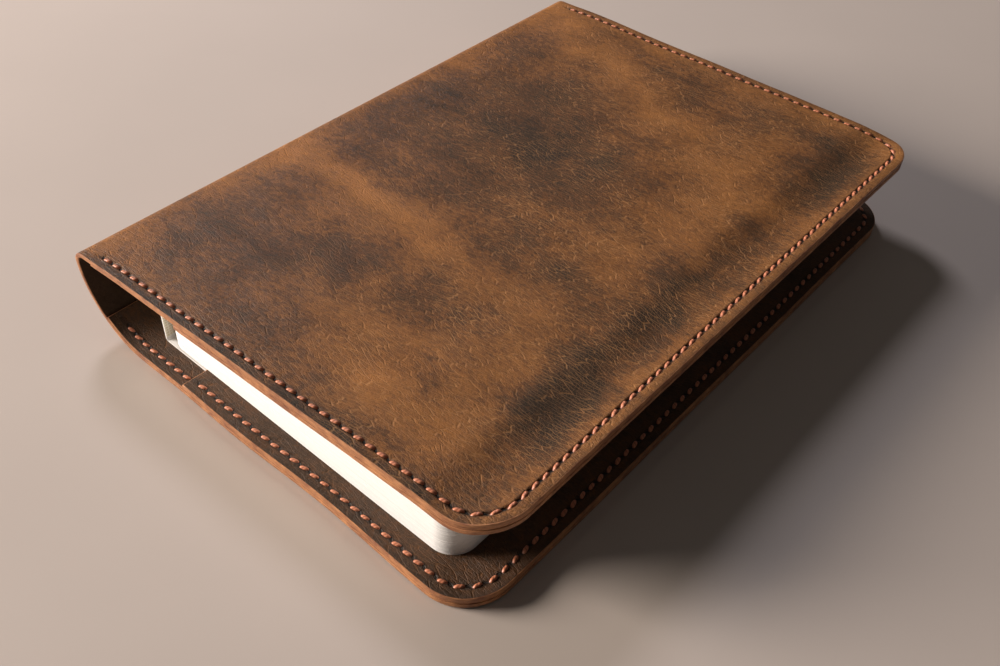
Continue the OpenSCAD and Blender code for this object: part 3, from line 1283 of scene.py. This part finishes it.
class COVER_OT_pockets(bpy.types.Operator):
    """Make the two pockets that the notebook's covers slide into"""

    bl_idname = "leather_cover.pockets"
    bl_label = "Pockets"

    def execute(self, context):
        sizes = cover()
        ys = border_lines(HALF_L)
        outer = sizes.hide_thickness + sizes.lining_thickness
        thickness = sizes.slot_height + sizes.pocket_thickness
        for name, node_name, front in (
            ("inner_pocket_back", "back_pocket", False),
            ("inner_pocket_front", "front_pocket", True),
        ):
            xs = lines((POCKET_X, 0, 1.6 * MM), *long_stretches(0))
            sheet = flat_sheet(name, xs, ys, sizes.corner_radius, thickness, 0.25 * MM)
            at = places(sheet)
            end_x = LEAF_HIGH.x + SLOT_ROOM
            half_y = LEAF_HIGH.y + SLOT_ROOM
            radius = notebook().page_radius + SLOT_ROOM
            past_x = at[:, 0] - (end_x - radius)
            past_y = np.abs(at[:, 1]) - (half_y - radius)
            reach = np.hypot(np.maximum(past_x, 0), np.maximum(past_y, 0))
            inside = np.maximum(reach, np.maximum(past_x, past_y)) - radius < 0
            near = smoothstep(-thickness * 0.5, 0, at[:, 2])
            at[:, 2] -= np.where(inside, near * sizes.slot_height, 0)
            move_points(sheet, at)
            finish_leather(sheet, front, outer)
            dress(sheet, lining_materials())
            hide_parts(node_name)
            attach(sheet, "front_cover" if front else "back_cover")
        return {"FINISHED"}


def one_stitch():
    """One stitch: a plump bar of thread whose two ends dive into their holes."""
    sizes = stitching()
    flatness, end_drop = 0.86, 0.62 * MM
    bpy.ops.object.select_all(action="DESELECT")
    bpy.ops.mesh.primitive_uv_sphere_add(segments=8, ring_count=7, radius=0.5)
    stitch = bpy.context.object
    bpy.ops.object.mode_set(mode="EDIT")
    bpy.ops.mesh.select_all(action="SELECT")
    bpy.ops.transform.rotate(value=math.pi / 2, orient_axis="Y", center_override=(0, 0, 0))
    bpy.ops.object.mode_set(mode="OBJECT")
    at = places(stitch)
    along = at[:, 0] * 2
    girth = np.hypot(at[:, 1], at[:, 2]) * 2
    fuller = np.where(girth > 1e-6, (1 - np.abs(along) ** 3.2) / np.maximum(girth, 1e-6), 1)
    at[:, 0] *= sizes.length
    at[:, 1] *= sizes.thread * fuller
    at[:, 2] *= sizes.thread * flatness * fuller
    at[:, 2] -= end_drop * np.abs(along) ** 2.6
    move_points(stitch, at)
    paint(stitch, "strand", at)
    return stitch


class COVER_OT_stitches(bpy.types.Operator):
    """Make the six rows of saddle stitches, each with a stitch on both faces of the leather"""

    bl_idname = "leather_cover.stitches"
    bl_label = "Stitches"

    def execute(self, context):
        sizes = stitching()
        pattern = one_stitch()
        thread = shared("Polyester thread, twisted and waxed", waxed_thread, colours().thread)
        dice = random.Random(4)
        lined = cover().hide_thickness + cover().lining_thickness
        whole = lined + cover().slot_height + cover().pocket_thickness
        for front in (False, True):
            seam = Seam(front)
            side = "front" if front else "back"
            rows = (
                ("tail", seam.end_row(-1)),
                ("fore", seam.fore_row()),
                ("head", seam.end_row(1)),
            )
            for row_name, row in rows:
                made = []
                for x, y, turn in row:
                    inner_depth = lined if x < POCKET_X + 1.5 * MM else whole
                    outer_depth = FRONT_SUNK if front else BACK_SUNK
                    for depth, flip in ((outer_depth, 1), (inner_depth + INNER_SUNK, -1)):
                        copy = pattern.copy()
                        copy.data = pattern.data.copy()
                        context.collection.objects.link(copy)
                        slant = turn + sizes.slant + math.radians(dice.uniform(-4, 4))
                        copy.data.transform(
                            Matrix.Translation((x, y, -depth))
                            @ Matrix.Rotation(slant, 4, "Z")
                            @ Matrix.Diagonal((1, 1, flip, 1))
                            @ Matrix.Scale(dice.uniform(0.94, 1.05), 4)
                        )
                        made.append(copy)
                bpy.ops.object.select_all(action="DESELECT")
                for copy in made:
                    copy.select_set(True)
                context.view_layer.objects.active = made[0]
                bpy.ops.object.join()
                piece = context.object
                piece.name = piece.data.name = f"thread_{side}_{row_name}"
                at = places(piece)
                move_points(piece, laid(front, at, -at[:, 2]))
                tidy(piece, 70)
                dress(piece, [thread])
                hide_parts(f"{side}_{row_name}_stitches")
                if front:
                    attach(piece, "front_cover")
                elif row_name == "fore":
                    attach(piece, "back_cover")
                else:
                    lower_bend(piece)
        bpy.data.objects.remove(pattern)
        return {"FINISHED"}


class NOTEBOOK_OT_front_leaf(bpy.types.Operator):
    """Make the notebook's own front cover, which lies in the front pocket"""

    bl_idname = "leather_cover.front_leaf"
    bl_label = "Notebook's front cover"

    def execute(self, context):
        xs = lines((LEAF_LOW.x, LEAF_HIGH.x, 1.6 * MM))
        ys = lines((-LEAF_HIGH.y, LEAF_HIGH.y, 2.2 * MM))
        thickness = LEAF_HIGH.z - LEAF_LOW.z
        leaf = flat_sheet(
            "notebook_front_leaf", xs, ys, notebook().page_radius, thickness, 0.06 * MM
        )
        at = places(leaf)
        depth = COVER_H - LEAF_HIGH.z - at[:, 2]
        move_points(leaf, laid(True, at, depth))
        tidy(leaf)
        card = shared("Pressed white card", white_card, colours().paper)
        dress(leaf, [card])
        for face in leaf.data.polygons:
            face.material_index = 0
        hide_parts("notebook_front_cover")
        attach(leaf, "notebook_front")
        return {"FINISHED"}


class NOTEBOOK_OT_sections(bpy.types.Operator):
    """Make the eight folded sections of pages"""

    bl_idname = "leather_cover.sections"
    bl_label = "Sections of pages"

    def execute(self, context):
        sizes = notebook()
        paper = shared("Uncoated book paper, trimmed", uncoated_paper, colours().paper, 0.12 * MM)
        for number in range(1, SECTIONS + 1):
            node_name = f"section_{number}"
            low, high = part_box(node_name)
            step = (high.z - low.z) / sizes.leaves
            bpy.ops.object.select_all(action="DESELECT")
            bpy.ops.mesh.primitive_plane_add(size=1)
            section = context.object
            section.name = section.data.name = f"pages_{number}"
            at = places(section)
            at[:, 0] = np.where(at[:, 0] < 0, low.x, high.x)
            at[:, 1] = np.where(at[:, 1] < 0, low.y, high.y)
            at[:, 2] = low.z
            move_points(section, at)
            bpy.ops.object.mode_set(mode="EDIT")
            bpy.ops.mesh.select_mode(type="VERT")
            bpy.ops.object.mode_set(mode="OBJECT")
            for vertex in section.data.vertices:
                vertex.select = vertex.co.x > 0
            bpy.ops.object.mode_set(mode="EDIT")
            bpy.ops.mesh.bevel(
                offset=sizes.page_radius, offset_type="OFFSET", segments=12, affect="VERTICES"
            )
            bpy.ops.mesh.select_all(action="SELECT")
            bpy.ops.mesh.extrude_region_move(TRANSFORM_OT_translate={"value": (0, 0, step)})
            bpy.ops.object.mode_set(mode="OBJECT")
            stack = section.modifiers.new("Leaves", "ARRAY")
            stack.count = sizes.leaves
            stack.use_relative_offset = False
            stack.use_constant_offset = True
            stack.constant_offset_displace = (0, 0, step)
            bpy.ops.object.modifier_apply(modifier=stack.name)

            at = places(section)
            count = len(at) // sizes.leaves
            radius = (high.z - low.z) / 2
            dice = random.Random(number)
            for leaf in range(sizes.leaves):
                rows = slice(leaf * count, (leaf + 1) * count)
                middle = (leaf + 0.5) * step - radius
                start = low.x + radius - math.sqrt(max(radius**2 - middle**2, 0))
                fold = at[rows, 0] < low.x + 1 * MM
                out = dice.uniform(-sizes.unevenness, 0)
                up = dice.uniform(-sizes.unevenness, 0)
                at[rows, 0] = np.where(fold, start, at[rows, 0] + out)
                at[rows, 1] += np.sign(at[rows, 1]) * up
            move_points(section, at)
            tidy(section, 30)
            dress(section, [paper])
            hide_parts(node_name)
            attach(section, "first_section" if number == 1 else "back_cover")
        return {"FINISHED"}


class NOTEBOOK_OT_binding(bpy.types.Operator):
    """Give the notebook's back cover and the gauze on its spine their finishes"""

    bl_idname = "leather_cover.binding"
    bl_label = "Notebook's binding"

    def execute(self, context):
        card = shared("Pressed white card", white_card, colours().paper)
        cotton, glue = linear("#e8e2d4"), linear("#cfc4a8")
        gauze = shared("Cotton gauze, glued", glued_gauze, cotton, glue)
        for name, material in (("notebook_back_cover", card), ("spine_gauze", gauze)):
            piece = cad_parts[name]
            piece.data.materials.clear()
            piece.data.materials.append(material)
        return {"FINISHED"}


class COVER_OT_stage(bpy.types.Operator):
    """Make the floor, the lamps and the camera"""

    bl_idname = "leather_cover.stage"
    bl_label = "Stage"

    def execute(self, context):
        settings = context.scene.leather_stage
        bpy.ops.object.select_all(action="DESELECT")
        bpy.ops.mesh.primitive_plane_add(size=6, location=(0, 0, -0.1 * MM))
        floor = context.object
        floor.name = "floor"
        floor.data.materials.append(plain_floor("Floor, painted matt", settings.floor))

        world = bpy.data.worlds.new("Studio")
        context.scene.world = world
        world.use_nodes = True
        tree = world.node_tree
        tree.nodes.clear()
        sky = node(tree, "Background", {"Color": rgba(linear("#efe9e4")), "Strength": 0.07})
        node(tree, "OutputWorld", {"Surface": sky})

        # A low, broad window on the left, and a weaker, cooler one behind it
        for name, place, size, power, colour in (
            ("left_window", (-1.40, -1.13, 0.58), 0.8, 66, linear("#fff5ec")),
            ("side_window", (-0.90, 0.45, 0.86), 0.3, 6, linear("#f3f3ff")),
        ):
            bpy.ops.object.light_add(type="AREA", location=place)
            lamp = context.object
            lamp.name = name
            lamp.data.shape = "DISK"
            lamp.data.size = size
            lamp.data.energy = power
            lamp.data.color = colour
            aim = (Vector((0.01, -0.02, 0)) - Vector(place)).to_track_quat("-Z", "Y")
            lamp.rotation_euler = aim.to_euler()

        turn, rise, roll = settings.azimuth, settings.elevation, settings.roll
        back = Vector(
            (math.sin(turn) * math.cos(rise), -math.cos(turn) * math.cos(rise), math.sin(rise))
        )
        right = Vector((math.cos(turn), math.sin(turn), 0))
        up = back.cross(right)
        across = right * math.cos(roll) + up * math.sin(roll)
        upright = up * math.cos(roll) - right * math.sin(roll)
        bpy.ops.object.camera_add(location=Vector(settings.target) + back * settings.distance)
        camera = context.object
        camera.name = "camera"
        camera.rotation_euler = Matrix((across, upright, back)).transposed().to_euler()
        camera.data.sensor_width = 36
        camera.data.lens = settings.lens
        camera.data.clip_start = 0.01
        camera.data.clip_end = 20
        context.scene.camera = camera
        context.scene.view_settings.view_transform = "Standard"
        return {"FINISHED"}


OPERATORS = (
    COVER_OT_outer_hide,
    COVER_OT_linings,
    COVER_OT_pockets,
    COVER_OT_stitches,
    NOTEBOOK_OT_front_leaf,
    NOTEBOOK_OT_sections,
    NOTEBOOK_OT_binding,
    COVER_OT_stage,
)
GROUPS = (
    (CoverSizes, "leather_cover"),
    (StitchSizes, "leather_stitching"),
    (NotebookSizes, "leather_notebook"),
    (CoverColours, "leather_colours"),
    (StageSettings, "leather_stage"),
)


class COVER_PT_sidebar(bpy.types.Panel):
    """Lists the cover's sizes, colours and pieces"""

    bl_idname = "COVER_PT_sidebar"
    bl_label = "Leather notebook cover"
    bl_space_type = "VIEW_3D"
    bl_region_type = "UI"
    bl_category = "Notebook Cover"

    def draw(self, context):
        for operator in OPERATORS:
            self.layout.operator(operator.bl_idname)
        for group, name in GROUPS:
            box = self.layout.box()
            box.label(text=group.__doc__)
            for field in group.__annotations__:
                box.prop(getattr(context.scene, name), field)


def register():
    for group, name in GROUPS:
        bpy.utils.register_class(group)
        setattr(bpy.types.Scene, name, bpy.props.PointerProperty(type=group))
    for operator in OPERATORS:
        bpy.utils.register_class(operator)
    bpy.utils.register_class(COVER_PT_sidebar)


def unregister():
    bpy.utils.unregister_class(COVER_PT_sidebar)
    for operator in reversed(OPERATORS):
        bpy.utils.unregister_class(operator)
    for group, name in reversed(GROUPS):
        delattr(bpy.types.Scene, name)
        bpy.utils.unregister_class(group)


def main():
    register()
    bpy.ops.leather_cover.outer_hide()
    bpy.ops.leather_cover.linings()
    bpy.ops.leather_cover.pockets()
    bpy.ops.leather_cover.stitches()
    bpy.ops.leather_cover.front_leaf()
    bpy.ops.leather_cover.sections()
    bpy.ops.leather_cover.binding()
    bpy.ops.leather_cover.stage()


if __name__ == "__main__":
    main()
